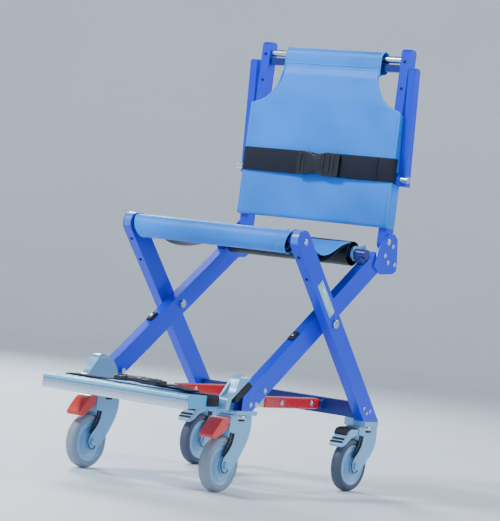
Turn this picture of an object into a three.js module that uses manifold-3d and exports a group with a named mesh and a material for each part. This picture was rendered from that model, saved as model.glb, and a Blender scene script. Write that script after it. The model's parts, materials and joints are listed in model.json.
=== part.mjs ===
// A folding stair chair on four swivel casters, in millimetres, +Z up, the sitter facing -Y.
// Two X-frames carry a sling seat, a folding sling backrest with carry handles, and a folding footrest.
import * as THREE from 'three';
import { mergeVertices } from 'three/addons/utils/BufferGeometryUtils.js';
import Module from 'manifold-3d';

const wasm = await Module();
wasm.setup();

const DEGREE = Math.PI / 180;
const GAP = 0.3;

// X-frame: the A tubes rise to the rear and the B tubes rise to the front, crossing at the pivot.
const PIVOT = [95, 394];
const A_RISE = 36.3 * DEGREE;
const B_RISE = 47.3 * DEGREE;
const A_UPPER = 264;
const B_UPPER = 244;
const TUBE_WIDTH = 24;
const TUBE_DEPTH = 50;
const WALL = 2;
const A_INNER = 191;
const A_OUTER = A_INNER + TUBE_WIDTH;
const B_INNER = 226;
const B_OUTER = B_INNER + TUBE_WIDTH;
const A_FOOT_Z = 184;
const A_FOOT_Y = -190;
const B_FOOT_Z = 170;
const PIVOT_BOLT_R = 6;
const PIVOT_HEAD_R = 11;
const PIVOT_HEAD_HIGH = 5;
const SPACER_R = 15;

// Seat: a sling between a front tube at the top of the B tubes and a rear tube on the A tubes.
const SEAT_TUBE_R = 12.5;
const SEAT_FRONT = [-67.5, 570];
const SEAT_REAR = [254, 561];
const SEAT_ROLL_R = 28;
const SEAT_FRONT_HALF = 222;
const SEAT_REAR_HALF = 176;
const SEAT_DIP = [70, 552];
const SEAT_SHEET = 7;

// Backrest, drawn upright round its hinge axis and leaned back.
const BACK_HINGE = [344, 594];
const BACK_LEAN = 1.7 * DEGREE;
const POST_DEPTH = 30;
const POST_HIGH = 468;
const TOP_TUBE_R = 8.5;
const TOP_TUBE_Z = 442;
const BACK_BAR = { y: 8, low: 412, high: 430 };
const SLING_FRONT = -29;
const SLING_BACK = -POST_DEPTH / 2 - 0.4;
const SLING_LOW = 34;
const SLING_SHOULDER = 313;
const SLING_NECK_Z = 372;
const SLING_NECK_HALF = 139;
const SLING_HALF = 218;
const BELT_LOW = 143;
const BELT_HIGH = 203;
const PIN_AT = [-5, 155];
const PIN_R = 8;
const PIN_OUTER = 251;
const HANDLE_INNER = 221.4;
const HANDLE_OUTER = 241.4;
const HANDLE_TOP = [-11, 422];
const HANDLE_LOW = [9.5, 151];

// Footrest between two brackets on the lower ends of the A tubes.
const FOOT_HINGE = [-240, 199];
const FOOT_FRONT_Y = -387;
const FOOT_HALF = 182;
const FOOT_LOW = 184.5;
const FOOT_HIGH = 212.5;
const FOOT_EDGE_DEEP = 14;
const RAIL_OUTER = 200;
const BRACKET_INNER = 186;
const BRACKET_OUTER = 213;
const FOOT_PIN_R = 5;
const FOOT_PIN_LONG = 30;

// Lock struts between the rear cross member and the front cross bar.
const STRUT_AT = 125;
const STRUT_EYE_REAR_Y = 261;
const STRUT_GRIP_FRONT_Y = 22;
const FRONT_BAR = [-146, 192.4];
const FRONT_BAR_R = 8;

// Casters: wheel radius, where each swivel stands, and how far its wheel trails to the front.
const WHEEL_R = 62.5;
const WHEEL_HALF = 13;
const RIM_R = 48;
const AXLE_R = 5;
const CASTERS = [
  { end: 'front', x: 188, swivelY: -176, axleY: -218, topZ: 173.4 },
  { end: 'rear', x: 222, swivelY: 308, axleY: 268, topZ: 155 },
];

const finish = (color, roughness, metalness = 0) =>
  new THREE.MeshStandardMaterial({ color, roughness, metalness });
const FINISHES = {
  frameBlue: () => finish(0x1f52d0, 0.38, 0.1),
  darkBlue: () => finish(0x0f2a7d, 0.42, 0.1),
  capGrey: () => finish(0xb9c4d0, 0.5),
  casting: () => finish(0xc3d2dc, 0.42, 0.5),
  steel: () => finish(0xc9d2d8, 0.25, 1),
  redPlastic: () => finish(0xb8322c, 0.4),
  blackPlastic: () => finish(0x16181d, 0.55),
  vinylBlue: () => finish(0x3f9be6, 0.5),
  webbing: () => finish(0x12151c, 0.85),
  tyre: () => finish(0x9fa8b2, 0.75),
  disc: () => finish(0xb4c6d6, 0.45),
};

const toSolid = (geometry) => {
  const bare = geometry.clone();
  bare.deleteAttribute('normal');
  bare.deleteAttribute('uv');
  const merged = mergeVertices(bare, 1e-4);
  return new wasm.Manifold(new wasm.Mesh({
    numProp: 3,
    vertProperties: new Float32Array(merged.attributes.position.array),
    triVerts: new Uint32Array(merged.index.array),
  }));
};

const toGeometry = (solid) => {
  const mesh = solid.getMesh();
  const geometry = new THREE.BufferGeometry();
  geometry.setAttribute('position', new THREE.BufferAttribute(mesh.vertProperties, 3));
  geometry.setIndex(new THREE.BufferAttribute(mesh.triVerts, 1));
  geometry.computeVertexNormals();
  return geometry;
};

const union = (...geometries) => toGeometry(
  geometries.map(toSolid).reduce((whole, piece) => whole.add(piece)));
const cut = (geometry, ...tools) => toGeometry(
  tools.map(toSolid).reduce((whole, tool) => whole.subtract(tool), toSolid(geometry)));
const common = (first, second) => toGeometry(toSolid(first).intersect(toSolid(second)));

// A side-view outline, given as [y, z] points or as a THREE.Shape, made solid from x0 to x1.
const asShape = (outline) => (outline instanceof THREE.Shape
  ? outline
  : new THREE.Shape(outline.map(([y, z]) => new THREE.Vector2(y, z))));
const SIDE_VIEW = new THREE.Matrix4().set(0, 0, 1, 0, 1, 0, 0, 0, 0, 1, 0, 0, 0, 0, 0, 1);
const extrudeX = (outline, x0, x1, curveSegments = 8) => {
  const geometry = new THREE.ExtrudeGeometry(asShape(outline), {
    depth: x1 - x0, bevelEnabled: false, curveSegments,
  });
  geometry.applyMatrix4(SIDE_VIEW);
  return geometry.translate(x0, 0, 0);
};

// A front-view outline of [x, z] points made solid from y0 to y1.
const extrudeY = (outline, y0, y1) => {
  const geometry = new THREE.ExtrudeGeometry(asShape(outline), { depth: y1 - y0, bevelEnabled: false });
  return geometry.rotateX(Math.PI / 2).translate(0, y1, 0);
};

const box = (x0, x1, y0, y1, z0, z1) => new THREE.BoxGeometry(x1 - x0, y1 - y0, z1 - z0)
  .translate((x0 + x1) / 2, (y0 + y1) / 2, (z0 + z1) / 2);

const rodX = (radius, x0, x1, [y, z], segments = 24) => new THREE.CylinderGeometry(
  radius, radius, x1 - x0, segments).rotateZ(Math.PI / 2).translate((x0 + x1) / 2, y, z);

const tubeX = (radius, wall, x0, x1, at, segments = 24) => cut(
  rodX(radius, x0, x1, at, segments), rodX(radius - wall, x0 - 1, x1 + 1, at, segments));

// A body of revolution about X, from [radius, x] points that start and end on the axis.
const turnedX = (profile, [y, z], segments = 16) => new THREE.LatheGeometry(
  profile.map(([radius, x]) => new THREE.Vector2(radius, -x)).reverse(), segments)
  .rotateZ(Math.PI / 2).translate(0, y, z);

const sided = (side, inner, outer) => (side > 0 ? [inner, outer] : [-outer, -inner]);
const nameOf = (base, side) => `${base}_${side > 0 ? 'right' : 'left'}`;

const arcPoints = ([y, z], radius, from, to, steps) => Array.from({ length: steps + 1 }, (_, i) => {
  const angle = from + ((to - from) * i) / steps;
  return [y + radius * Math.cos(angle), z + radius * Math.sin(angle)];
});

// A straight line through the pivot: along() walks it, atHeight() finds where an offset edge meets a height.
const lineThroughPivot = (angle) => {
  const along = (distance, offset) => [
    PIVOT[0] + distance * Math.cos(angle) - offset * Math.sin(angle),
    PIVOT[1] + distance * Math.sin(angle) + offset * Math.cos(angle),
  ];
  const atHeight = (z, offset) => along(
    (z - PIVOT[1] - offset * Math.cos(angle)) / Math.sin(angle), offset);
  const atDepth = (y, offset) => along(
    (y - PIVOT[0] + offset * Math.sin(angle)) / Math.cos(angle), offset);
  return { along, atHeight, atDepth };
};
const A_LINE = lineThroughPivot(A_RISE);
const B_LINE = lineThroughPivot(Math.PI - B_RISE);

const chair = new THREE.Group();
const backrest = new THREE.Group();
backrest.position.set(0, BACK_HINGE[0], BACK_HINGE[1]);
backrest.rotation.x = -BACK_LEAN;
chair.add(backrest);

const add = (name, geometry, material, parent = chair) => {
  const mesh = new THREE.Mesh(geometry, material);
  mesh.name = name;
  parent.add(mesh);
  return mesh;
};

const HALF_DEPTH = TUBE_DEPTH / 2;
const BORE_HALF = HALF_DEPTH - WALL;
const PAST = 40;

const aTube = (side) => {
  const outline = [
    A_LINE.atHeight(A_FOOT_Z, -HALF_DEPTH),
    A_LINE.along(A_UPPER, -HALF_DEPTH),
    A_LINE.along(A_UPPER, HALF_DEPTH),
    A_LINE.atDepth(A_FOOT_Y, HALF_DEPTH),
    [A_FOOT_Y, A_FOOT_Z],
  ];
  const bore = [
    A_LINE.atHeight(A_FOOT_Z - PAST, -BORE_HALF),
    A_LINE.along(A_UPPER + PAST, -BORE_HALF),
    A_LINE.along(A_UPPER + PAST, BORE_HALF),
    A_LINE.atHeight(A_FOOT_Z - PAST, BORE_HALF),
  ];
  return cut(
    extrudeX(outline, ...sided(side, A_INNER, A_OUTER)),
    extrudeX(bore, ...sided(side, A_INNER + WALL, A_OUTER - WALL)),
    rodX(PIVOT_BOLT_R + GAP, ...sided(side, A_INNER - 1, A_OUTER + 1), PIVOT),
  );
};

const bTube = (side) => {
  const crown = arcPoints(B_LINE.along(B_UPPER, 0), HALF_DEPTH,
    Math.PI / 2 - B_RISE, Math.PI * 1.5 - B_RISE, 12);
  const outline = [
    ...crown,
    B_LINE.atHeight(B_FOOT_Z, HALF_DEPTH),
    B_LINE.atHeight(B_FOOT_Z, -HALF_DEPTH),
  ];
  const bore = [
    B_LINE.along(B_UPPER + PAST, -BORE_HALF),
    B_LINE.along(B_UPPER + PAST, BORE_HALF),
    B_LINE.atHeight(B_FOOT_Z - PAST, BORE_HALF),
    B_LINE.atHeight(B_FOOT_Z - PAST, -BORE_HALF),
  ];
  return cut(
    extrudeX(outline, ...sided(side, B_INNER, B_OUTER)),
    extrudeX(bore, ...sided(side, B_INNER + WALL, B_OUTER - WALL)),
    rodX(PIVOT_BOLT_R + GAP, ...sided(side, B_INNER - 1, B_OUTER + 1), PIVOT),
  );
};

// The cap closes the open crown of a B tube between its side walls.
const bCap = (side) => {
  const reach = BORE_HALF - GAP;
  const spread = Math.asin(reach / HALF_DEPTH);
  const middle = Math.PI - B_RISE;
  const plugDeep = 18;
  const outline = [
    ...arcPoints(B_LINE.along(B_UPPER, 0), HALF_DEPTH, middle - spread, middle + spread, 10),
    B_LINE.along(B_UPPER - plugDeep, reach),
    B_LINE.along(B_UPPER - plugDeep, -reach),
  ];
  return extrudeX(outline, ...sided(side, B_INNER + WALL + GAP, B_OUTER - WALL - GAP));
};

const pivotBolt = (side) => {
  const nutHigh = 6;
  const nutR = 10;
  const profile = [
    [0, A_INNER - GAP - nutHigh],
    [nutR, A_INNER - GAP - nutHigh],
    [nutR, A_INNER - GAP],
    [PIVOT_BOLT_R, A_INNER - GAP],
    [PIVOT_BOLT_R, A_OUTER + GAP],
    [SPACER_R, A_OUTER + GAP],
    [SPACER_R, B_INNER - GAP],
    [PIVOT_BOLT_R, B_INNER - GAP],
    [PIVOT_BOLT_R, B_OUTER + GAP],
    [PIVOT_HEAD_R, B_OUTER + GAP],
    [PIVOT_HEAD_R, B_OUTER + GAP + PIVOT_HEAD_HIGH - 1.5],
    [PIVOT_HEAD_R - 1.5, B_OUTER + GAP + PIVOT_HEAD_HIGH],
    [0, B_OUTER + GAP + PIVOT_HEAD_HIGH],
  ];
  const turned = side > 0 ? profile : profile.map(([radius, x]) => [radius, -x]).reverse();
  return turnedX(turned, PIVOT);
};

// A rubber-faced block on the front face of an A tube, behind the bracket's ear.
const aBlock = (side) => {
  const blockThick = 17;
  const low = HALF_DEPTH + GAP;
  const high = low + blockThick;
  const front = -368;
  const rear = -296;
  const round = 9;
  const outline = [
    A_LINE.along(front + round, low),
    A_LINE.along(rear - 2, low),
    A_LINE.along(rear, low + 4),
    A_LINE.along(rear - 3, high - 5),
    A_LINE.along(rear - round, high),
    A_LINE.along(front + round + 4, high),
    A_LINE.along(front + 3, high - 5),
    A_LINE.along(front + 2, low + 5),
  ];
  return extrudeX(outline, ...sided(side, A_INNER + 2, A_OUTER - 0.5));
};

// Bracket: a fin rising in front of the block, a cheek on the inner face of the A tube, and a hinge pin.
const footBracket = (side) => {
  const clear = HALF_DEPTH + GAP * 2 + 17.4;
  const fin = new THREE.Shape();
  fin.moveTo(-250, A_FOOT_Z + GAP);
  fin.lineTo(-250, 205);
  fin.quadraticCurveTo(-249, 212, -243, 213);
  fin.quadraticCurveTo(-219, 214, -211, 250);
  fin.quadraticCurveTo(-202, 264, -187, 263);
  fin.quadraticCurveTo(-176, 262, -172, 258);
  const backHigh = A_LINE.atHeight(254, clear);
  const backLow = A_LINE.atHeight(208, clear);
  fin.lineTo(backHigh[0], backHigh[1]);
  fin.lineTo(backLow[0], backLow[1]);
  fin.lineTo(-238, A_FOOT_Z + GAP);
  const cheek = [
    [-250, A_FOOT_Z + GAP],
    [-138, A_FOOT_Z + GAP],
    [-128, 196],
    [-127, 212],
    [-134, 230],
    [-147, 246],
    [-160, 255],
    [-172, 258],
    [-211, 250],
    [-243, 213],
    [-250, 205],
  ];
  const crownR = 11;
  const crownZ = 264 - crownR;
  const front = [
    [BRACKET_INNER - 1, A_FOOT_Z - 1],
    [BRACKET_OUTER + 1, A_FOOT_Z - 1],
    ...arcPoints([BRACKET_OUTER - crownR, crownZ], crownR, 0, Math.PI / 2, 4),
    ...arcPoints([BRACKET_INNER + crownR, crownZ], crownR, Math.PI / 2, Math.PI, 4),
  ].map(([x, z]) => [side * x, z]);
  const finGeometry = common(
    extrudeX(fin, ...sided(side, BRACKET_INNER, BRACKET_OUTER), 5),
    extrudeY(side > 0 ? front : front.reverse(), -300, 0),
  );
  const cheekGeometry = extrudeX(cheek, ...sided(side, BRACKET_INNER, A_INNER - GAP));
  const pin = rodX(FOOT_PIN_R, ...sided(side, BRACKET_INNER - FOOT_PIN_LONG, BRACKET_INNER + 1), FOOT_HINGE);
  return union(finGeometry, cheekGeometry, pin);
};

const seatRearTube = () => {
  const footHalf = 9;
  const foot = (side) => extrudeX([
    A_LINE.along(204, HALF_DEPTH + GAP),
    A_LINE.along(204 + 2 * footHalf, HALF_DEPTH + GAP),
    A_LINE.along(204 + 2 * footHalf, HALF_DEPTH + 12),
    A_LINE.along(204, HALF_DEPTH + 12),
  ], ...sided(side, A_INNER + 3, A_OUTER - 3));
  return union(rodX(SEAT_TUBE_R, -A_OUTER, A_OUTER, SEAT_REAR), foot(1), foot(-1));
};

// Hinge plate on the outer faces of the A tube and the post, with the stud the post turns on.
const hingePlate = (side) => {
  const thick = 4;
  const outline = [
    [284, 536], [316, 518], [372, 522], [386, 530], [387, 548],
    [378, 606], [362, 618], [338, 617], [318, 600], [296, 574],
  ];
  const plate = extrudeX(outline, ...sided(side, A_OUTER + GAP, A_OUTER + GAP + thick));
  const stud = rodX(5, ...sided(side, A_INNER - 3, A_OUTER + GAP + 1), BACK_HINGE);
  return union(plate, stud);
};

const latch = (side) => {
  const ring = rodX(18, ...sided(side, 179, 185), SEAT_REAR, 20);
  const arm = extrudeX([
    [258, 576], [268, 560], [284, 565], [294, 574], [293, 581], [286, 584], [274, 579],
  ], ...sided(side, 179, 185));
  return cut(union(ring, arm), rodX(SEAT_TUBE_R + GAP, ...sided(side, 178, 186), SEAT_REAR));
};

const rearCrossMember = () => {
  const outer = [[262, 175], [287, 175], [287, 212], [262, 212]];
  const inner = [[264, 177], [285, 177], [285, 210], [264, 210]];
  const lugs = [-1, 1].flatMap((side) => [STRUT_AT - 15, STRUT_AT + 9].map(
    (x) => extrudeX([[247, 187], [262.5, 184], [262.5, 208], [247, 205]], ...sided(side, x, x + 6))));
  const tube = cut(
    extrudeX(outer, -B_INNER + GAP, B_INNER - GAP),
    extrudeX(inner, -B_INNER, B_INNER),
  );
  return union(tube, ...lugs);
};

// The seat sling: a round sleeve on each tube joined by a sheet that dips, narrower at the rear.
const seatSling = () => {
  const dipLow = SEAT_DIP[1] - SEAT_SHEET;
  const [frontY, frontZ] = SEAT_FRONT;
  const [rearY, rearZ] = SEAT_REAR;
  const sheet = new THREE.Shape();
  sheet.moveTo(frontY, frontZ + SEAT_ROLL_R);
  sheet.quadraticCurveTo(frontY + 55, SEAT_DIP[1] + 8, SEAT_DIP[0], SEAT_DIP[1]);
  sheet.quadraticCurveTo(rearY - 50, SEAT_DIP[1] + 12, rearY, rearZ + SEAT_ROLL_R);
  sheet.lineTo(rearY, rearZ + SEAT_TUBE_R + 4);
  sheet.quadraticCurveTo(rearY - 50, dipLow + 4, SEAT_DIP[0], dipLow);
  sheet.quadraticCurveTo(frontY + 55, dipLow, frontY, frontZ + SEAT_TUBE_R + 4);
  const slab = extrudeX(sheet, -SEAT_FRONT_HALF, SEAT_FRONT_HALF);
  const roll = (at) => rodX(SEAT_ROLL_R, -SEAT_FRONT_HALF, SEAT_FRONT_HALF, at, 28);
  const hole = (at) => rodX(SEAT_TUBE_R + 0.5, -SEAT_FRONT_HALF - 1, SEAT_FRONT_HALF + 1, at);
  const whole = cut(union(slab, roll(SEAT_FRONT), roll(SEAT_REAR)), hole(SEAT_FRONT), hole(SEAT_REAR));
  const position = whole.attributes.position;
  for (let i = 0; i < position.count; i += 1) {
    const back = THREE.MathUtils.smoothstep(position.getY(i), 0, rearY - SEAT_ROLL_R);
    const half = THREE.MathUtils.lerp(SEAT_FRONT_HALF, SEAT_REAR_HALF, back);
    position.setX(i, (position.getX(i) * half) / SEAT_FRONT_HALF);
  }
  return whole;
};

const post = (side) => {
  const half = POST_DEPTH / 2;
  const chamfer = 7;
  const outline = [
    ...arcPoints([0, 0], half, Math.PI, 2 * Math.PI, 8),
    [half, POST_HIGH - chamfer],
    [half - chamfer, POST_HIGH],
    [-half + chamfer, POST_HIGH],
    [-half, POST_HIGH - chamfer],
  ];
  const bore = [
    [-half + WALL, -PAST], [half - WALL, -PAST],
    [half - WALL, POST_HIGH - chamfer - WALL], [-half + WALL, POST_HIGH - chamfer - WALL],
  ];
  return cut(
    extrudeX(outline, ...sided(side, A_INNER, A_OUTER)),
    extrudeX(bore, ...sided(side, A_INNER + WALL, A_OUTER - WALL)),
    rodX(5 + GAP, ...sided(side, A_INNER - 1, A_OUTER + 1), [0, 0]),
  );
};

// The backrest sling: a padded front panel with scooped shoulders, a sleeve round the top tube and
// the bar under it, and a flap down the outer face of each post.
const backSling = () => {
  const sleeveHalf = 17;
  const sleeveLow = BACK_BAR.low - 6;
  const profile = new THREE.Shape();
  profile.moveTo(SLING_BACK, SLING_LOW);
  profile.lineTo(SLING_BACK, SLING_NECK_Z);
  profile.quadraticCurveTo(SLING_BACK, sleeveLow - 10, -sleeveHalf + 6, sleeveLow);
  profile.lineTo(sleeveHalf - 6, sleeveLow);
  profile.quadraticCurveTo(sleeveHalf, sleeveLow, sleeveHalf, sleeveLow + 8);
  profile.lineTo(sleeveHalf, TOP_TUBE_Z);
  profile.quadraticCurveTo(sleeveHalf, TOP_TUBE_Z + sleeveHalf, 0, TOP_TUBE_Z + sleeveHalf);
  profile.quadraticCurveTo(-sleeveHalf, TOP_TUBE_Z + sleeveHalf, -sleeveHalf, TOP_TUBE_Z);
  profile.lineTo(-sleeveHalf - 1, sleeveLow + 4);
  profile.quadraticCurveTo(SLING_FRONT, SLING_NECK_Z + 20, SLING_FRONT, SLING_NECK_Z - 10);
  profile.lineTo(SLING_FRONT, SLING_LOW);
  const outline = new THREE.Shape();
  outline.moveTo(-SLING_HALF, SLING_LOW);
  outline.lineTo(SLING_HALF, SLING_LOW);
  outline.lineTo(SLING_HALF, SLING_SHOULDER);
  outline.quadraticCurveTo(SLING_NECK_HALF + 12, SLING_SHOULDER + 10, SLING_NECK_HALF, SLING_NECK_Z + 22);
  outline.lineTo(SLING_NECK_HALF, POST_HIGH + 20);
  outline.lineTo(-SLING_NECK_HALF, POST_HIGH + 20);
  outline.lineTo(-SLING_NECK_HALF, SLING_NECK_Z + 22);
  outline.quadraticCurveTo(-SLING_NECK_HALF - 12, SLING_SHOULDER + 10, -SLING_HALF, SLING_SHOULDER);
  const panel = common(extrudeX(profile, -SLING_HALF - 1, SLING_HALF + 1), extrudeY(outline, -60, 60));
  const tunnel = [
    [-10, BACK_BAR.low - 1.5], [10, BACK_BAR.low - 1.5], [10, TOP_TUBE_Z + 10], [-10, TOP_TUBE_Z + 10],
  ];
  const flap = (side) => cut(
    box(...sided(side, A_OUTER + 0.4, SLING_HALF), SLING_FRONT + 4, 12, SLING_LOW, SLING_SHOULDER - 4),
    box(...sided(side, A_OUTER - 1, SLING_HALF + 1), SLING_BACK, 14, PIN_AT[1] - 10, PIN_AT[1] + 10),
  );
  return cut(union(panel, flap(1), flap(-1)), extrudeX(tunnel, -SLING_HALF, SLING_HALF));
};

const backBar = () => {
  const { y, low, high } = BACK_BAR;
  return cut(
    box(-A_INNER + GAP, A_INNER - GAP, -y, y, low, high),
    box(-A_INNER, A_INNER, -y + 2, y - 2, low + 2, high - 2),
  );
};

const handle = (side) => {
  const half = 10.5;
  const [topY, topZ] = HANDLE_TOP;
  const [lowY, lowZ] = HANDLE_LOW;
  const chamfer = 5;
  const bar = extrudeX([
    [lowY - half, lowZ - 12], [lowY + half, lowZ - 12],
    [topY + half, topZ - chamfer], [topY + half - chamfer, topZ],
    [topY - half + chamfer, topZ], [topY - half, topZ - chamfer],
  ], ...sided(side, HANDLE_INNER, HANDLE_OUTER));
  const knuckleWide = 7;
  const knuckle = rodX(13, ...sided(side, HANDLE_INNER, HANDLE_INNER + knuckleWide), PIN_AT, 20);
  return cut(union(bar, knuckle), rodX(PIN_R + GAP, ...sided(side, HANDLE_INNER - 1, HANDLE_OUTER + 1), PIN_AT));
};

const chestBelt = () => {
  const front = SLING_FRONT - 3.5;
  const outer = SLING_HALF + 2.6;
  const inner = SLING_HALF + 0.8;
  const plan = [
    [-outer, front], [outer, front], [outer, -16], [inner, -16],
    [inner, SLING_FRONT - 0.5], [-inner, SLING_FRONT - 0.5], [-inner, -16], [-outer, -16],
  ];
  const geometry = new THREE.ExtrudeGeometry(asShape(plan), {
    depth: BELT_HIGH - BELT_LOW, bevelEnabled: false,
  });
  return geometry.translate(0, 0, BELT_LOW);
};

// A side-release buckle with a raised middle, drawn flat in X and Z.
const buckle = (x0, x1, z0, z1, y0, y1) => {
  const ear = 14;
  const notch = 7;
  const plate = [
    [x0, z0 + 4], [x0 + 4, z0], [x0 + 46, z0], [x0 + 50, z0 + notch], [x1 - ear, z0 + notch],
    [x1 - ear, z0], [x1, z0], [x1, z1], [x1 - ear, z1], [x1 - ear, z1 - notch],
    [x0 + 50, z1 - notch], [x0 + 46, z1], [x0 + 4, z1], [x0, z1 - 4],
  ];
  return extrudeY(plate, y0, y1);
};

const footPanel = () => {
  const [hingeY, hingeZ] = FOOT_HINGE;
  const knuckleR = 13;
  const frontY = FOOT_FRONT_Y + FOOT_EDGE_DEEP + GAP;
  const outline = [
    [frontY, FOOT_LOW],
    ...arcPoints([hingeY, hingeZ], knuckleR, -Math.PI / 2, Math.PI / 2, 8),
    [hingeY - 12, FOOT_HIGH], [frontY, FOOT_HIGH],
  ];
  const board = extrudeX(outline, -FOOT_HALF, FOOT_HALF);
  const railTop = FOOT_HIGH + 1;
  const railRear = hingeY - 16;
  const rail = (side) => extrudeX([
    [frontY, FOOT_LOW], [railRear, FOOT_LOW], [railRear, hingeZ + 1], [railRear - 14, railTop],
    [frontY, railTop],
  ], ...sided(side, FOOT_HALF - 4, RAIL_OUTER));
  return cut(union(board, rail(1), rail(-1)),
    rodX(FOOT_PIN_R + GAP, -FOOT_HALF - 1, FOOT_HALF + 1, FOOT_HINGE));
};

const footEdge = () => {
  const bow = new THREE.Shape();
  bow.moveTo(FOOT_FRONT_Y + FOOT_EDGE_DEEP, 182);
  bow.lineTo(FOOT_FRONT_Y + FOOT_EDGE_DEEP, 213.5);
  bow.lineTo(FOOT_FRONT_Y + 4, 213.5);
  bow.quadraticCurveTo(FOOT_FRONT_Y + 1, 213, FOOT_FRONT_Y + 1, 209);
  bow.quadraticCurveTo(FOOT_FRONT_Y + 4, 200, FOOT_FRONT_Y, 189);
  bow.quadraticCurveTo(FOOT_FRONT_Y, 183, FOOT_FRONT_Y + 5, 182);
  return extrudeX(bow, -RAIL_OUTER, RAIL_OUTER, 5);
};

// The strap crosses the footrest and turns down outside each rail.
const footStrap = () => {
  const y0 = -306;
  const y1 = -262;
  const top = FOOT_HIGH + 1.4;
  const down = 190;
  const front = [
    [-RAIL_OUTER - 3.4, down], [-RAIL_OUTER - 0.4, down], [-RAIL_OUTER - 0.4, top],
    [RAIL_OUTER + 0.4, top], [RAIL_OUTER + 0.4, down], [RAIL_OUTER + 3.4, down],
    [RAIL_OUTER + 3.4, top + 3], [-RAIL_OUTER - 3.4, top + 3],
  ];
  return extrudeY(front, y0, y1);
};

const footBuckle = () => {
  const flat = buckle(-58, 50, -26, 26, 0, 15);
  return flat.rotateX(Math.PI / 2).translate(0, -284, FOOT_HIGH + 4.8);
};

const strutBar = (side) => {
  const [hookY, hookZ] = FRONT_BAR;
  const rise = FRONT_BAR_R + GAP;
  const bar = [
    [STRUT_GRIP_FRONT_Y - GAP, 184], [STRUT_GRIP_FRONT_Y - GAP, 206], [hookY - 12, 206],
    [hookY - 14, 200], [hookY - 12, hookZ + rise], [hookY + 12, hookZ + rise], [hookY + 16, 184],
  ];
  return extrudeX(bar, ...sided(side, STRUT_AT - 5, STRUT_AT + 5));
};

// The red grip of a lock strut, with the eye that turns between the cross member's lugs.
const strutGrip = (side) => {
  const eye = [
    [STRUT_GRIP_FRONT_Y, 183], [240, 183], [258, 188], [STRUT_EYE_REAR_Y, 196], [258, 204], [240, 209],
    [STRUT_GRIP_FRONT_Y, 209],
  ];
  return extrudeX(eye, ...sided(side, STRUT_AT - 8.5, STRUT_AT + 8.5));
};

const frontPlate = (side) => box(...sided(side, 159, 216), -210, -130, 174, A_FOOT_Z - GAP);

const rearPlate = (side) => {
  const [x0, x1] = sided(side, 197, 248);
  const plate = box(x0, x1, 279, 339, 155.5, B_FOOT_Z - GAP);
  const stem = box(...sided(side, 200, B_INNER - 2), 262, 300, 156, 174.6);
  return union(plate, stem);
};

// A fork: two swept arms under a swivel housing, joined by the axle. Drawn round the axle at y 0.
const forkArm = (top, housingFront, housingRear) => {
  const arm = new THREE.Shape();
  arm.moveTo(housingFront, top);
  arm.lineTo(housingRear, top);
  arm.quadraticCurveTo(housingRear + 8, top - 34, housingRear - 8, top - 60);
  arm.quadraticCurveTo(housingRear - 30, 72, 16, 45);
  arm.quadraticCurveTo(-4, 36, -16, 52);
  arm.quadraticCurveTo(-22, 66, -8, 82);
  arm.quadraticCurveTo(14, 96, 20, 132);
  arm.lineTo(housingFront, 137);
  return arm;
};

const fork = ({ topZ, swivelY, axleY }) => {
  const clearance = WHEEL_HALF + 1.5;
  const armThick = 5;
  const housingFront = 0;
  const housingRear = swivelY - axleY + 38;
  const shape = forkArm(topZ, housingFront, housingRear);
  const arms = [-1, 1].map((side) => extrudeX(shape, ...sided(side, clearance, clearance + armThick), 6));
  const bridge = extrudeX([
    [housingFront, 131], [housingFront, topZ], [housingRear, topZ], [housingRear + 4, topZ - 26],
    [housingRear - 6, 131],
  ], -clearance - 1, clearance + 1);
  const axle = rodX(AXLE_R, -clearance - armThick - 4, clearance + armThick + 4, [0, WHEEL_R], 12);
  const nuts = [-1, 1].map((side) => rodX(
    9, ...sided(side, clearance + armThick - 1, clearance + armThick + 4), [0, WHEEL_R], 12));
  return union(...arms, bridge, axle, ...nuts);
};

const ringProfile = (points) => [...points, points[0]].map(([radius, x]) => new THREE.Vector2(radius, x));

const tyre = () => {
  const shoulder = 7;
  const crown = arcPoints([WHEEL_R - shoulder, WHEEL_HALF - shoulder], shoulder, Math.PI / 2, 0, 2);
  const low = crown.map(([radius, x]) => [radius, -x]).reverse();
  const profile = ringProfile([
    [RIM_R, WHEEL_HALF - 1.5], ...crown, ...low, [RIM_R, -WHEEL_HALF + 1.5],
  ].reverse());
  return new THREE.LatheGeometry(profile, 36).rotateZ(Math.PI / 2);
};

const hub = () => {
  const rim = RIM_R - GAP;
  const bore = AXLE_R + GAP;
  const face = WHEEL_HALF - 1.5;
  const profile = ringProfile([
    [bore, face], [rim, face], [rim, -face], [bore, -face],
  ].reverse());
  return new THREE.LatheGeometry(profile, 24).rotateZ(Math.PI / 2);
};

// A brake pedal in front of a fork's housing, sloping forward and down over the wheel.
const frontPedal = () => {
  const toe = new THREE.Shape();
  toe.moveTo(-8, 140);
  toe.lineTo(-GAP * 2, 158);
  toe.lineTo(-GAP * 2, 168);
  toe.quadraticCurveTo(-10, 171, -24, 168);
  toe.quadraticCurveTo(-40, 158, -60, 131);
  toe.quadraticCurveTo(-63, 124, -56, 121);
  toe.lineTo(-42, 122);
  toe.quadraticCurveTo(-24, 131, -14, 138);
  return extrudeX(toe, -19, 19, 5);
};

const rearPedal = () => {
  const toe = new THREE.Shape();
  toe.moveTo(-6, 132);
  toe.lineTo(-GAP * 2, 142);
  toe.lineTo(-GAP * 2, 149);
  toe.lineTo(-30, 149);
  toe.quadraticCurveTo(-46, 144, -52, 130);
  toe.lineTo(-70, 112);
  toe.lineTo(-66, 105);
  toe.lineTo(-48, 112);
  toe.quadraticCurveTo(-30, 128, -14, 131);
  return extrudeX(toe, -19, 19, 5);
};

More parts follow.
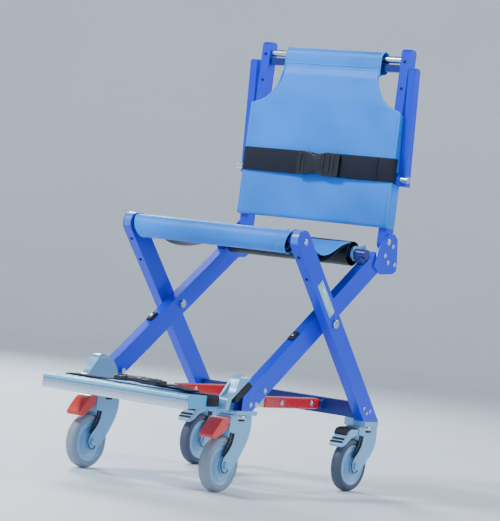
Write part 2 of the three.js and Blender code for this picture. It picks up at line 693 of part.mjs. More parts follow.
for (const side of [-1, 1]) {
  add(nameOf('a_tube', side), aTube(side), FINISHES.frameBlue());
  add(nameOf('b_tube', side), bTube(side), FINISHES.frameBlue());
  add(nameOf('b_cap', side), bCap(side), FINISHES.capGrey());
  add(nameOf('pivot_bolt', side), pivotBolt(side), FINISHES.steel());
  add(nameOf('a_block', side), aBlock(side), FINISHES.blackPlastic());
  add(nameOf('foot_bracket', side), footBracket(side), FINISHES.casting());
  add(nameOf('hinge_plate', side), hingePlate(side), FINISHES.frameBlue());
  add(nameOf('back_latch', side), latch(side), FINISHES.steel());
  add(nameOf('front_plate', side), frontPlate(side), FINISHES.casting());
  add(nameOf('rear_plate', side), rearPlate(side), FINISHES.casting());
  add(nameOf('strut_bar', side), strutBar(side), FINISHES.steel());
  add(nameOf('strut_grip', side), strutGrip(side), FINISHES.redPlastic());
  add(nameOf('post', side), post(side), FINISHES.frameBlue(), backrest);
  add(nameOf('handle', side), handle(side), FINISHES.frameBlue(), backrest);
  add(nameOf('handle_pin', side),
    rodX(PIN_R, ...sided(side, A_OUTER + GAP, PIN_OUTER), PIN_AT), FINISHES.steel(), backrest);
}

add('front_cross_bar', rodX(FRONT_BAR_R, -BRACKET_INNER + GAP, BRACKET_INNER - GAP, FRONT_BAR), FINISHES.steel());
add('seat_rear_tube', seatRearTube(), FINISHES.steel());
add('seat_front_tube', tubeX(SEAT_TUBE_R, WALL, -B_INNER + GAP, B_INNER - GAP, SEAT_FRONT), FINISHES.steel());
add('rear_cross_member', rearCrossMember(), FINISHES.darkBlue());
add('seat_sling', seatSling(), FINISHES.vinylBlue());
add('top_tube', tubeX(TOP_TUBE_R, WALL, -A_INNER + GAP, A_INNER - GAP, [0, TOP_TUBE_Z]), FINISHES.steel(), backrest);
add('back_bar', backBar(), FINISHES.darkBlue(), backrest);
add('back_sling', backSling(), FINISHES.vinylBlue(), backrest);
add('chest_belt', chestBelt(), FINISHES.webbing(), backrest);
add('chest_buckle', buckle(-50, 72, BELT_LOW + 1, BELT_HIGH - 1, SLING_FRONT - 18, SLING_FRONT - 3.8),
  FINISHES.blackPlastic(), backrest);
add('foot_panel', footPanel(), FINISHES.casting());
add('foot_edge', footEdge(), FINISHES.steel());
add('foot_strap', footStrap(), FINISHES.webbing());
add('foot_buckle', footBuckle(), FINISHES.blackPlastic());

for (const caster of CASTERS) {
  for (const side of [-1, 1]) {
    const label = nameOf(caster.end, side);
    const group = new THREE.Group();
    group.position.set(side * caster.x, caster.axleY, 0);
    chair.add(group);
    const isFront = caster.end === 'front';
    add(`${label}_fork`, fork(caster), FINISHES.casting(), group);
    add(`${label}_pedal`, isFront ? frontPedal() : rearPedal(),
      isFront ? FINISHES.redPlastic() : FINISHES.blackPlastic(), group);
    add(`${label}_tyre`, tyre(), FINISHES.tyre(), group).position.z = WHEEL_R;
    add(`${label}_hub`, hub(), FINISHES.disc(), group).position.z = WHEEL_R;
  }
}

export default chair;
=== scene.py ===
import json
import math

import bmesh
import bpy
from mathutils import Matrix, Vector

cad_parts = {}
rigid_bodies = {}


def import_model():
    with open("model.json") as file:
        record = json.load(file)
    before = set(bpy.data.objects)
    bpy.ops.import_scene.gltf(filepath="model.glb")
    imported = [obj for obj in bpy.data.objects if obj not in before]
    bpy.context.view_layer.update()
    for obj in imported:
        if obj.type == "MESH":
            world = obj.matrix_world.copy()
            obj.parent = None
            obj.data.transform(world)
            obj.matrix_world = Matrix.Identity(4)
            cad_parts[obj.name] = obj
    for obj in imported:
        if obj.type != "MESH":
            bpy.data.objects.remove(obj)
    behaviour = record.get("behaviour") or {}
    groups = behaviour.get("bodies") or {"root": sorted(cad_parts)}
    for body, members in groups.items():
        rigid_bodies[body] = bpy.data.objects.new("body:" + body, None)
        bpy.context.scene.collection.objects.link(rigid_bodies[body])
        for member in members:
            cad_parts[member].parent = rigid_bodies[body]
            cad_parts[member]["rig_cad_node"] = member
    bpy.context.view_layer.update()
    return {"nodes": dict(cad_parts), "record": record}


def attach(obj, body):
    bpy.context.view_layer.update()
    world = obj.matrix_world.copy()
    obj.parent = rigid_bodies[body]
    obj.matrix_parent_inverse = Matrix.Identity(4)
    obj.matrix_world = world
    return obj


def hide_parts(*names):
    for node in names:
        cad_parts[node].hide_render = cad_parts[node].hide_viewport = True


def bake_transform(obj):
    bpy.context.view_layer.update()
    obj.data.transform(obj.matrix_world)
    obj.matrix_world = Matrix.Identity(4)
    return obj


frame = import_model()
NODES = frame["nodes"]
MM = 0.001
SIDES = ((-1, "left"), (1, "right"))

BACK_HINGE = (344.0, 594.0)
BACK_LEAN = math.radians(1.7)
SEAT_FRONT = (-67.5, 570.0)
SEAT_REAR = (254.0, 561.0)
SEAT_ROLL_R = 28.0
FOOT_TOP = 212.5
WHEEL_R = 62.5
CASTERS = (("front", 188.0, -176.0, -218.0), ("rear", 222.0, 308.0, 268.0))


# ---------------------------------------------------------------- materials

class Graph:
    """A material's node graph, with short ways to add and join nodes."""

    def __init__(self, name):
        self.material = bpy.data.materials.new(name)
        self.material.use_nodes = True
        self.nodes = self.material.node_tree.nodes
        self.links = self.material.node_tree.links
        self.shader = self.nodes["Principled BSDF"]
        self.place = self.nodes.new("ShaderNodeTexCoord").outputs["Object"]

    def add(self, kind, settings=None, **inputs):
        node = self.nodes.new(kind)
        for key, value in (settings or {}).items():
            setattr(node, key, value)
        for key, value in inputs.items():
            socket = node.inputs[key.replace("_", " ")]
            if isinstance(value, bpy.types.NodeSocket):
                self.links.new(value, socket)
            else:
                socket.default_value = value
        return node

    def noise(self, scale, detail=4.0, rough=0.55, stretch=None):
        place = self.place
        if stretch:
            place = self.add("ShaderNodeMapping", Vector=place, Scale=stretch).outputs[0]
        return self.add("ShaderNodeTexNoise", Vector=place, Scale=scale, Detail=detail,
                        Roughness=rough).outputs["Fac"]

    def span(self, value, low, high, out_low, out_high):
        node = self.add("ShaderNodeMapRange", Value=value)
        for i, number in zip((1, 2, 3, 4), (low, high, out_low, out_high)):
            node.inputs[i].default_value = number
        return node.outputs[0]

    def mix(self, amount, first, second):
        node = self.nodes.new("ShaderNodeMix")
        node.data_type = "RGBA"
        for i, value in ((0, amount), (6, first), (7, second)):
            if isinstance(value, bpy.types.NodeSocket):
                self.links.new(value, node.inputs[i])
            else:
                node.inputs[i].default_value = value
        return node.outputs[2]

    def sum(self, first, second, first_share=1.0, second_share=1.0):
        a = self.add("ShaderNodeMath", {"operation": "MULTIPLY"})
        self.links.new(first, a.inputs[0])
        a.inputs[1].default_value = first_share
        b = self.add("ShaderNodeMath", {"operation": "MULTIPLY_ADD"})
        self.links.new(second, b.inputs[0])
        b.inputs[1].default_value = second_share
        self.links.new(a.outputs[0], b.inputs[2])
        return b.outputs[0]

    def colour(self, value):
        self.links.new(value, self.shader.inputs["Base Color"])

    def rough(self, value):
        self.links.new(value, self.shader.inputs["Roughness"])

    def bump(self, height, distance_mm, strength=0.5):
        node = self.add("ShaderNodeBump", Height=height, Strength=strength, Distance=distance_mm * MM)
        self.links.new(node.outputs[0], self.shader.inputs["Normal"])

    def worn_edge(self):
        point = self.nodes.new("ShaderNodeNewGeometry").outputs["Pointiness"]
        return self.span(point, 0.53, 0.62, 0.0, 1.0)


def rgb(code, share=1.0):
    def linear(v):
        v /= 255.0
        return v / 12.92 if v <= 0.04045 else ((v + 0.055) / 1.055) ** 2.4
    return tuple(linear(int(code[i:i + 2], 16)) * share for i in (0, 2, 4)) + (1.0,)


def painted(name, code, roughness, metal=0.15, coat=0.35, worn="A9C0DE"):
    g = Graph(name)
    base = g.mix(g.span(g.noise(3.0), 0.3, 0.7, 0.0, 1.0), rgb(code, 0.97), rgb(code, 1.03))
    scuff = g.span(g.noise(60.0, 6.0, 0.7), 0.60, 0.80, 0.0, 0.30)
    edge = g.add("ShaderNodeMath", {"operation": "MULTIPLY"})
    g.links.new(g.worn_edge(), edge.inputs[0])
    g.links.new(scuff, edge.inputs[1])
    g.colour(g.mix(edge.outputs[0], base, rgb(worn)))
    g.rough(g.span(g.noise(9.0, 3.0), 0.3, 0.7, roughness - 0.02, roughness + 0.03))
    g.bump(g.noise(1400.0, 2.0), 0.03, 0.2)
    g.shader.inputs["Metallic"].default_value = metal
    g.shader.inputs["Coat Weight"].default_value = coat
    g.shader.inputs["Coat Roughness"].default_value = 0.18
    g.shader.inputs["Specular IOR Level"].default_value = 0.4
    return g.material


def moulded(name, code, roughness, grain=1400.0, depth=0.1, coat=0.0, vary=0.9):
    g = Graph(name)
    g.colour(g.mix(g.span(g.noise(14.0), 0.3, 0.7, 0.0, 1.0), rgb(code, vary), rgb(code, 1.06)))
    g.rough(g.span(g.noise(10.0), 0.3, 0.7, roughness - 0.02, roughness + 0.03))
    g.bump(g.noise(grain, 3.0, 0.6), depth, 0.5)
    g.shader.inputs["Coat Weight"].default_value = coat
    g.shader.inputs["Coat Roughness"].default_value = 0.2
    return g.material


def metal(name, code, roughness, stretch):
    g = Graph(name)
    lines = g.noise(26.0, 5.0, 0.65, stretch)
    g.colour(g.mix(g.span(lines, 0.3, 0.7, 0.0, 1.0), rgb(code, 0.82), rgb(code, 1.05)))
    g.rough(g.span(lines, 0.25, 0.75, roughness - 0.06, roughness + 0.12))
    g.bump(lines, 0.05, 0.4)
    g.shader.inputs["Metallic"].default_value = 1.0
    return g.material


def coated_fabric(name, code, roughness, worn_code):
    """Smooth wipe-clean fabric: a fine leather-like grain over a faint weave, with wide soft darker patches of
    painted shade in its colour.
    """
    g = Graph(name)
    cells = g.add("ShaderNodeTexVoronoi", {"feature": "DISTANCE_TO_EDGE"}, Vector=g.place, Scale=520.0)
    grain = g.span(cells.outputs["Distance"], 0.0, 0.12, 0.0, 1.0)
    soft = g.noise(5.0, 2.0, 0.4)
    # Wide random darker patches, strong enough to stand as painted shade over the skin.
    broad_painted_shade = g.mix(g.span(soft, 0.3, 0.7, 0.0, 1.0), rgb(code, 0.68), rgb(code, 1.05))
    spots = g.span(g.noise(26.0, 6.0, 0.6), 0.62, 0.82, 0.0, 0.18)
    g.colour(g.mix(spots, broad_painted_shade, rgb(worn_code)))
    g.rough(g.span(g.noise(18.0, 4.0), 0.3, 0.7, roughness - 0.05, roughness + 0.08))
    g.bump(g.sum(grain, g.noise(90.0, 3.0, 0.5), 0.5, 0.9), 0.22, 0.4)
    g.shader.inputs["Specular IOR Level"].default_value = 0.35
    g.shader.inputs["Coat Weight"].default_value = 0.05
    g.shader.inputs["Coat Roughness"].default_value = 0.4
    return g.material


def webbing(name, code):
    """Woven strap: fine ribs across it and a herringbone of warp threads."""
    g = Graph(name)
    ribs = g.add("ShaderNodeTexWave", {"bands_direction": "X"}, Vector=g.place, Scale=260.0,
                 Distortion=0.4).outputs["Fac"]
    warp = g.add("ShaderNodeTexWave", {"bands_direction": "DIAGONAL"}, Vector=g.place, Scale=150.0,
                 Distortion=0.6).outputs["Fac"]
    both = g.sum(ribs, warp, 0.55, 0.45)
    g.colour(g.mix(g.span(both, 0.2, 0.8, 0.0, 1.0), rgb(code, 0.55), rgb(code, 1.35)))
    g.rough(g.span(both, 0.0, 1.0, 0.92, 0.74))
    g.bump(both, 0.5, 0.7)
    g.shader.inputs["Sheen Weight"].default_value = 0.06
    return g.material


def ribbed_top(name, code, roughness):
    """Anti-slip ribs that run from side to side over a painted plate."""
    g = Graph(name)
    ribs = g.add("ShaderNodeTexWave", {"bands_direction": "Y"}, Vector=g.place, Scale=28.0).outputs["Fac"]
    step = g.span(ribs, 0.35, 0.65, 0.0, 1.0)
    g.colour(g.mix(g.span(g.noise(16.0), 0.3, 0.7, 0.0, 1.0), rgb(code, 0.86), rgb(code, 1.04)))
    g.rough(g.span(g.noise(40.0), 0.3, 0.7, roughness - 0.05, roughness + 0.1))
    g.bump(g.sum(step, g.noise(700.0, 2.0), 0.9, 0.2), 0.7, 0.6)
    g.shader.inputs["Metallic"].default_value = 0.5
    return g.material


def painted_reflection_edge(name, node):
    """Bright metal edge whose light is painted in: a painted azure reflection along the upper lip, a dark line
    of painted shade at the groove, and a painted pale reflection that grows downward.
    """
    heights = [v.co.z for v in node.data.vertices]
    g = Graph(name)
    up = g.add("ShaderNodeSeparateXYZ", Vector=g.place).outputs["Z"]
    ramp = g.add("ShaderNodeValToRGB", Fac=g.span(up, min(heights), max(heights), 0.0, 1.0))
    # Colour bands by height: painted reflections and a painted line of groove shade.
    painted_reflection_stops = [(0.0, "E4EEFA"), (0.4, "B4CAE2"), (0.66, "7FA8CA"), (0.71, "35587A"), (0.75, "5CB8E6"),
             (1.0, "9CDCF2")]
    elements = ramp.color_ramp.elements
    while len(elements) < len(painted_reflection_stops):
        elements.new(0.5)
    for element, (place, code) in zip(elements, painted_reflection_stops):
        element.position = place
        element.color = rgb(code)
    lines = g.noise(20.0, 4.0, 0.6, (0.4, 30.0, 30.0))
    g.colour(ramp.outputs["Color"])
    g.rough(g.span(lines, 0.3, 0.7, 0.22, 0.30))
    g.bump(lines, 0.01, 0.2)
    g.shader.inputs["Metallic"].default_value = 0.35
    g.shader.inputs["Coat Weight"].default_value = 0.3
    return g.material


MATERIALS = {
    "frame_blue": painted("frame_blue", "0A3CE8", 0.30, 0.2, 0.25),
    "frame_dark": painted("frame_dark", "142C80", 0.34),
    "cap_grey": moulded("cap_grey", "4A78DC", 0.34, 1400.0, 0.06, 0.3),
    "label": moulded("label", "A8E2EE", 0.3, 2000.0, 0.03, 0.5),
    "casting": painted("casting", "7FB8DE", 0.33, 0.35, 0.3, "E4ECF2"),
    "steel": metal("steel", "C6D2DC", 0.22, (1.0, 14.0, 14.0)),
    # The foot edge gets painted reflections and painted groove shade in its colour.
    "edge_steel_painted_reflection": painted_reflection_edge("edge_steel_painted_reflection", NODES["foot_edge"]),
    "red_plastic": moulded("red_plastic", "D8261E", 0.28, 1100.0, 0.05, 0.6, 0.96),
    "black_plastic": moulded("black_plastic", "121722", 0.28, 1400.0, 0.05, 0.5),
    "rubber_black": moulded("rubber_black", "12151C", 0.72, 700.0, 0.2),
    "vinyl": coated_fabric("vinyl", "008CFF", 0.46, "1C9CFF"),
    "vinyl_light": coated_fabric("vinyl_light", "1CA4FF", 0.44, "50BCFF"),
    "vinyl_black": coated_fabric("vinyl_black", "10161F", 0.50, "28333F"),
    "webbing": webbing("webbing", "0B1226"),
    "thread": moulded("thread", "7FC4F6", 0.7, 2600.0, 0.2),
    "tyre": moulded("tyre", "8794A2", 0.62, 800.0, 0.16),
    # Darker copy of the tyre colour for the rear tyres: painted shade for the shadow under the chair.
    "tyre_painted_shade": moulded("tyre_painted_shade", "465066", 0.62, 800.0, 0.16),
    "disc": moulded("disc", "84B6E0", 0.34, 1500.0, 0.06, 0.25),
    "footplate": ribbed_top("footplate", "5CB4E6", 0.34),
}


# ---------------------------------------------------------------- mesh tools

def finish_object(name, mesh, body, slot, look):
    """Links a mesh given in millimetres, and has it ride on its CAD body."""
    mesh.transform(Matrix.Scale(MM, 4))
    obj = bpy.data.objects.new(name, mesh)
    bpy.context.scene.collection.objects.link(obj)
    for polygon in mesh.polygons:
        polygon.use_smooth = True
    mesh.materials.append(MATERIALS[look or slot])
    if body:
        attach(obj, body)
    return obj


def from_grid(rows, closed_rows=False, closed_cols=False, cap=False):
    """Faces over a grid of points. cap closes the two ends of a closed-column tube."""
    count_r, count_c = len(rows), len(rows[0])
    points = [p for row in rows for p in row]
    faces = []
    for i in range(count_r if closed_rows else count_r - 1):
        for j in range(count_c if closed_cols else count_c - 1):
            a, b = i * count_c + j, i * count_c + (j + 1) % count_c
            c = ((i + 1) % count_r) * count_c + (j + 1) % count_c
            d = ((i + 1) % count_r) * count_c + j
            faces.append((a, b, c, d))
    if cap:
        faces.append(tuple(range(count_c))[::-1])
        faces.append(tuple((count_r - 1) * count_c + j for j in range(count_c)))
    return points, faces


def build(points, faces):
    mesh = bpy.data.meshes.new("made")
    mesh.from_pydata([tuple(p) for p in points], [], faces)
    bm = bmesh.new()
    bm.from_mesh(mesh)
    bmesh.ops.remove_doubles(bm, verts=bm.verts, dist=0.01)
    bmesh.ops.recalc_face_normals(bm, faces=bm.faces)
    bm.to_mesh(mesh)
    bm.free()
    return mesh


def joined(parts):
    points, faces = [], []
    for part_points, part_faces in parts:
        start = len(points)
        points += [tuple(p) for p in part_points]
        faces += [tuple(i + start for i in face) for face in part_faces]
    return build(points, faces)


def tube_along(path, radius, sides=10, closed=False):
    """A round tube along a polyline."""
    rows = []
    count = len(path)
    side = None
    for i, p in enumerate(path):
        before = Vector(path[(i - 1) % count] if closed or i else path[0])
        after = Vector(path[(i + 1) % count] if closed or i < count - 1 else path[-1])
        along = (after - before).normalized()
        if side is None:
            side = along.orthogonal().normalized()
        side = (side - along * side.dot(along)).normalized()
        up = along.cross(side)
        rows.append([Vector(p) + (side * math.cos(a) + up * math.sin(a)) * radius
                     for a in (2 * math.pi * k / sides for k in range(sides))])
    return from_grid(rows, closed_rows=closed, closed_cols=True, cap=not closed)


def lathe(profile, steps=72):
    """A body of revolution about X from [x, radius] points."""
    rows = []
    for k in range(steps):
        a = 2 * math.pi * k / steps
        rows.append([(x, r * math.cos(a), r * math.sin(a)) for x, r in profile])
    return from_grid(rows, closed_rows=True)


def moved(part, place):
    points, faces = part
    return [place @ Vector(p) for p in points], faces


def at(x, y, z):
    return Matrix.Translation((x, y, z))


def turned_to(direction):
    """The rotation that takes +X to a direction."""
    return Vector((1, 0, 0)).rotation_difference(Vector(direction)).to_matrix().to_4x4()


def screw_head(radius, high, drive):
    """A button head along +X with a hexagonal socket."""
    steps = 24
    rim = [(0, radius), (high * 0.35, radius), (high * 0.8, radius * 0.86), (high, radius * 0.62)]
    points, faces = [], []
    for x, r in rim:
        points += [(x, r * math.cos(2 * math.pi * k / steps), r * math.sin(2 * math.pi * k / steps))
                   for k in range(steps)]
    for ring in range(len(rim) - 1):
        for k in range(steps):
            n = (k + 1) % steps
            faces.append((ring * steps + k, ring * steps + n, (ring + 1) * steps + n, (ring + 1) * steps + k))
    top = (len(rim) - 1) * steps
    low = len(points)
    for x in (high, high * 0.3):
        for k in range(steps):
            a = 2 * math.pi * k / steps
            hexed = drive / max(math.cos((a % (math.pi / 3)) - math.pi / 6), 0.2)
            points.append((x, hexed * math.cos(a), hexed * math.sin(a)))
    for k in range(steps):
        n = (k + 1) % steps
        faces.append((top + k, top + n, low + n, low + k))
        faces.append((low + k, low + n, low + steps + n, low + steps + k))
    faces.append(tuple(low + steps + k for k in range(steps)))
    faces.append(tuple(range(steps))[::-1])
    return points, faces


def slab(outline, low, high):
    """An outline of (u, v) points made solid between two heights w. Points are (u, v, w)."""
    count = len(outline)
    points = [(u, v, low) for u, v in outline] + [(u, v, high) for u, v in outline]
    faces = [tuple(range(count))[::-1], tuple(range(count, 2 * count))]
    faces += [(i, (i + 1) % count, count + (i + 1) % count, count + i) for i in range(count)]
    return points, faces


def block(x0, x1, y0, y1, z0, z1):
    return slab([(x0, y0), (x1, y0), (x1, y1), (x0, y1)], z0, z1)


def soften(obj, width_mm, segments=2, angle=30.0):
    """Rounds the hard edges. A CAD node's faceted faces are first merged to whole flats."""
    if "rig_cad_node" in obj:
        obj.modifiers.new("weld", "WELD").merge_threshold = 0.00002
        flats = obj.modifiers.new("flats", "DECIMATE")
        flats.decimate_type = "DISSOLVE"
        flats.angle_limit = math.radians(1.0)
        for polygon in obj.data.polygons:
            polygon.use_smooth = True
    edge = obj.modifiers.new("edge", "BEVEL")
    edge.width = width_mm * MM
    edge.segments = segments
    edge.limit_method = "ANGLE"
    edge.angle_limit = math.radians(angle)
    edge.miter_outer = "MITER_ARC"
    obj.modifiers.new("shade", "WEIGHTED_NORMAL").keep_sharp = True
    return obj


def strap(path, width, thick, across, sides=3):
    """Webbing along a path: a flat section with rounded selvedges, its width along the across direction."""
    wide = Vector(across).normalized()
    rows = []
    for i, p in enumerate(path):
        along = Vector(path[min(i + 1, len(path) - 1)]) - Vector(path[max(i - 1, 0)])
        out = along.cross(wide).normalized()
        section = []
        for end in (1, -1):
            for k in range(sides + 1):
                a = math.pi * k / sides
                section.append(Vector(p) + wide * end * (width / 2 - thick / 2 + thick / 2 * math.sin(a))
                               + out * end * (thick / 2) * math.cos(a))
        rows.append(section)
    return from_grid(rows, closed_cols=True, cap=True)


def smooth_path(points, steps=6):
    """A Catmull-Rom curve through the points."""
    made = []
    for i in range(len(points) - 1):
        p0, p1, p2, p3 = (Vector(points[max(0, min(len(points) - 1, i + k))]) for k in (-1, 0, 1, 2))
        for k in range(steps):
            t = k / steps
            made.append(0.5 * (2 * p1 + (p2 - p0) * t + (2 * p0 - 5 * p1 + 4 * p2 - p3) * t * t
                               + (3 * p1 - 3 * p2 + p3 - p0) * t * t * t))
    made.append(Vector(points[-1]))
    return made


def stitches(path, out, long=5.0, gap=3.2, radius=0.6, lift=0.35):
    """Short thread spindles along a path; out gives the surface's outward direction at each point."""
    parts = []
    lengths = [0.0]
    for a, b in zip(path, path[1:]):
        lengths.append(lengths[-1] + (Vector(b) - Vector(a)).length)

    def spot(s):
        for i in range(len(path) - 1):
            if s <= lengths[i + 1] or i == len(path) - 2:
                share = (s - lengths[i]) / max(lengths[i + 1] - lengths[i], 1e-6)
                return (Vector(path[i]).lerp(Vector(path[i + 1]), share),
                        Vector(out[i]).lerp(Vector(out[i + 1]), share).normalized())
    s = gap
    while s + long < lengths[-1]:
        (p, n), (q, m) = spot(s), spot(s + long)
        middle = (p + q) / 2 + (n + m).normalized() * lift
        along = (q - p).normalized()
        side = along.cross(n).normalized()
        points = [p - n * 0.2, q - m * 0.2, middle + n * radius, middle + side * radius,
                  middle - n * radius, middle - side * radius]
        faces = [(0, 2, 3), (0, 3, 4), (0, 4, 5), (0, 5, 2), (1, 3, 2), (1, 4, 3), (1, 5, 4), (1, 2, 5)]
        parts.append((points, faces))
        s += long + gap
    return parts


def lerp(a, b, t):
    return a + (b - a) * t


def ease(value, low, high):
    t = min(1.0, max(0.0, (value - low) / (high - low)))
    return t * t * (3 - 2 * t)


LEANING = at(0, *BACK_HINGE) @ Matrix.Rotation(-BACK_LEAN, 4, "X")


def piece(name, part_or_parts, body, slot, look=None, place=None):
    parts = part_or_parts if isinstance(part_or_parts, list) else [part_or_parts]
    mesh = joined(parts)
    if place is not None:
        mesh.transform(place)
    return finish_object(name, mesh, body, slot, look)


def back_piece(name, part_or_parts, body, slot, look=None):
    """A backrest piece, drawn upright round the backrest's hinge."""
    return piece(name, part_or_parts, body, slot, look, LEANING)


def subdivided(obj, levels=1):
    modifier = obj.modifiers.new("round", "SUBSURF")
    modifier.levels = levels
    modifier.render_levels = levels
    return obj


# ---------------------------------------------------------------- CAD nodes that stay

EDGE_MM = {
    "a_tube": 1.6, "b_tube": 1.6, "b_cap": 1.0, "pivot_bolt": 0.6, "a_block": 1.6, "foot_bracket": 1.4,
    "hinge_plate": 0.5, "back_latch": 0.7, "front_plate": 1.0, "rear_plate": 1.0, "strut_bar": 0.9,
    "strut_grip": 3.0, "post": 0.8, "handle": 2.6, "handle_pin": 0.8,
}
for base, width in EDGE_MM.items():
    for _, side_name in SIDES:
        soften(NODES[f"{base}_{side_name}"], width, 3 if width > 1.4 else 2)
for name in ("front_cross_bar", "seat_rear_tube", "seat_front_tube", "top_tube", "back_bar",
             "rear_cross_member", "foot_panel", "foot_edge"):
    soften(NODES[name], 1.2)
for end, *_ in CASTERS:
    for _, side_name in SIDES:
        soften(NODES[f"{end}_{side_name}_fork"], 1.5, 3)
        soften(NODES[f"{end}_{side_name}_pedal"], 4.0, 4)

LOOKS = {"foot_panel": "footplate", "foot_edge": "edge_steel_painted_reflection", "a_block_left": "rubber_black",
         "a_block_right": "rubber_black", "seat_rear_tube": "frame_dark",
         "back_latch_left": "casting", "back_latch_right": "casting",
         "rear_left_pedal": "disc", "rear_right_pedal": "disc"}
SLOT_OF = {s["node"]: s["material_slot"] for s in frame["record"]["subparts"]}
for name, node in NODES.items():
    node.data.materials.clear()
    node.data.materials.append(MATERIALS[LOOKS.get(name, SLOT_OF[name])])


# ---------------------------------------------------------------- seat sling

SEAT_HALF_FRONT = 222.0
SEAT_HALF_REAR = 176.0


def seat_half(y):
    return lerp(SEAT_HALF_FRONT, SEAT_HALF_REAR, ease(y, -10, 226))


def seat_top(y, u):
    """Height of the seat's top skin: it sags between its two tubes, most along its free side edges."""
    start, end = SEAT_FRONT[1] + SEAT_ROLL_R, SEAT_REAR[1] + SEAT_ROLL_R
    t = (y - SEAT_FRONT[0]) / (SEAT_REAR[0] - SEAT_FRONT[0])
    chord = lerp(start, end, t)
    middle = 30.0 * math.sin(math.pi * min(1, max(0, t))) ** 1.3
    side = 44.0 * math.sin(math.pi * min(1, max(0, t)) ** 0.86) ** 1.6
    waves = 0.9 * math.sin(u * 9.0 + y * 0.05) * math.sin(math.pi * min(1, max(0, t)))
    return chord - lerp(middle, side, abs(u) ** 2.5) + waves


ACROSS = [math.sin(math.pi / 2 * k / 16) for k in range(-16, 17)]


def roll_half(z):
    """Half width of the seat's front roll at a height."""
    return lerp(205, 221, (z - (SEAT_FRONT[1] - SEAT_ROLL_R)) / (2 * SEAT_ROLL_R))


def seat_rows():
    """Rows of the azure skin from under the front roll, round it and back to the rear sleeve.

    Each is (y, z, half width, wrapped); a row that isn't wrapped takes its height from seat_top.
    """
    rows = []
    for k in range(15):
        angle = math.radians(-35 - 215 * k / 14)
        y = SEAT_FRONT[0] + SEAT_ROLL_R * math.cos(angle)
        z = SEAT_FRONT[1] + SEAT_ROLL_R * math.sin(angle)
        rows.append((y, z, roll_half(z), True))
    for k in range(1, 27):
        y = lerp(SEAT_FRONT[0], 236, k / 26)
        rows.append((y, 0.0, seat_half(y) - 1, False))
    return rows


def skin(rows):
    made = []
    for y, z, half, wrapped in rows:
        line = []
        for u in ACROSS:
            height = z if wrapped else seat_top(y, u)
            line.append((u * half, y, height))
        made.append(line)
    return made


def roll_point(angle, extra=0.0):
    """A point on the right-hand rim of the front roll."""
    y = SEAT_FRONT[0] + (SEAT_ROLL_R + extra) * math.cos(angle)
    z = SEAT_FRONT[1] + (SEAT_ROLL_R + extra) * math.sin(angle)
    return roll_half(SEAT_FRONT[1] + SEAT_ROLL_R * math.sin(angle)), y, z


def thicken(obj, thick_mm):
    shell = obj.modifiers.new("thick", "SOLIDIFY")
    shell.thickness = thick_mm * MM
    shell.offset = -1.0


def bends_with_frame(obj):
    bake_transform(obj)


def front_cover():
    """Full front roll and the top skin as one sheet."""
    cover = piece("seat_cover", from_grid(skin(seat_rows())), None, "vinyl")
    thicken(cover, 2.6)
    subdivided(cover)
    bends_with_frame(cover)
    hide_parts("seat_sling")


def seat_underside():
    made = []
    for k in range(25):
        y = lerp(-46, 232, k / 24)
        t = k / 24
        gap = 4.0 + 6.0 * math.sin(math.pi * t)
        made.append([(u * (seat_half(y) - 2), y,
                      min(seat_top(max(y, SEAT_FRONT[0]), u), lerp(560, 700, ease(y, -46, 0))) - gap
                      - 7.0 * (abs(u) ** 6) * math.sin(math.pi * t)) for u in ACROSS])
    under = piece("seat_underside", from_grid(made), None, "vinyl", "vinyl_black")
    thicken(under, 1.8)
    subdivided(under)
    bends_with_frame(under)


def rear_sleeve():
    rows = []
    for k in range(33):
        angle = math.radians(100 + 350 * k / 32)
        squash = 1.0 + 0.06 * math.sin(angle * 2)
        rows.append([(u * (SEAT_HALF_REAR - 1.0), SEAT_REAR[0] + 29 * squash * math.cos(angle),
                      SEAT_REAR[1] - 1 + 29.5 * math.sin(angle)) for u in ACROSS])
    sleeve = piece("seat_rear_sleeve", from_grid(rows), "a_frame", "vinyl", "vinyl_black")
    thicken(sleeve, 2.4)
    subdivided(sleeve)


def seat_trim():
    for sign, side_name in SIDES:
        edge = [(sign * (seat_half(y) - 1.5), y, seat_top(y, 1.0) - 1.0)
                for y in (lerp(-60, 234, k / 40) for k in range(41))]
        piping = piece(f"seat_piping_{side_name}", tube_along(edge, 2.3, 8), None, "vinyl", "vinyl_light")
        bends_with_frame(piping)
        inner = [(sign * (seat_half(y) - 13), y, seat_top(y, (seat_half(y) - 13) / seat_half(y)))
                 for y in (lerp(-40, 220, k / 52) for k in range(53))]
        thread = piece(f"seat_stitches_{side_name}", stitches(inner, [(0, 0, 1)] * len(inner)),
                       None, "vinyl", "thread")
        bends_with_frame(thread)
        arcs = []
        for inset in (16, 22):
            ring = [math.radians(-60 - 200 * k / 30) for k in range(31)]
            path = [roll_point(a) for a in ring]
            path = [(sign * (x - inset), y, z) for x, y, z in path]
            arcs += stitches(path, [(0, math.cos(a), math.sin(a)) for a in ring], 4.4, 2.6)
        piece(f"seat_roll_stitches_{side_name}", arcs, "b_frame", "vinyl", "thread")
        rim = []
        for k in range(37):
            a = math.radians(10 * k)
            x, y, z = roll_point(a, -0.8)
            rim.append((sign * x, y, z))
        piece(f"seat_roll_rim_{side_name}", tube_along(rim[:-1], 2.0, 8, closed=True), "b_frame", "vinyl",
              "vinyl_light")
        inner_r, outer_r = 13.2, 26.6
        lining = lathe([(sign * 201, inner_r), (sign * 202.5, outer_r), (sign * 198.5, outer_r),
                        (sign * 197, inner_r), (sign * 201, inner_r)], 40)
        piece(f"seat_roll_lining_{side_name}", moved(lining, at(0, *SEAT_FRONT)), "b_frame", "vinyl",
              "vinyl_black")


# ---------------------------------------------------------------- backrest sling

NECK_HALF = 139.0
PANEL_HALF = 218.0
SHOULDER_Z = 313.0
PANEL_LOW = 34.0
PANEL_FRONT = -29.0
PANEL_REAR = -15.6
PANEL_MIDDLE = -22.2
TOP_TUBE_Z = 441.4


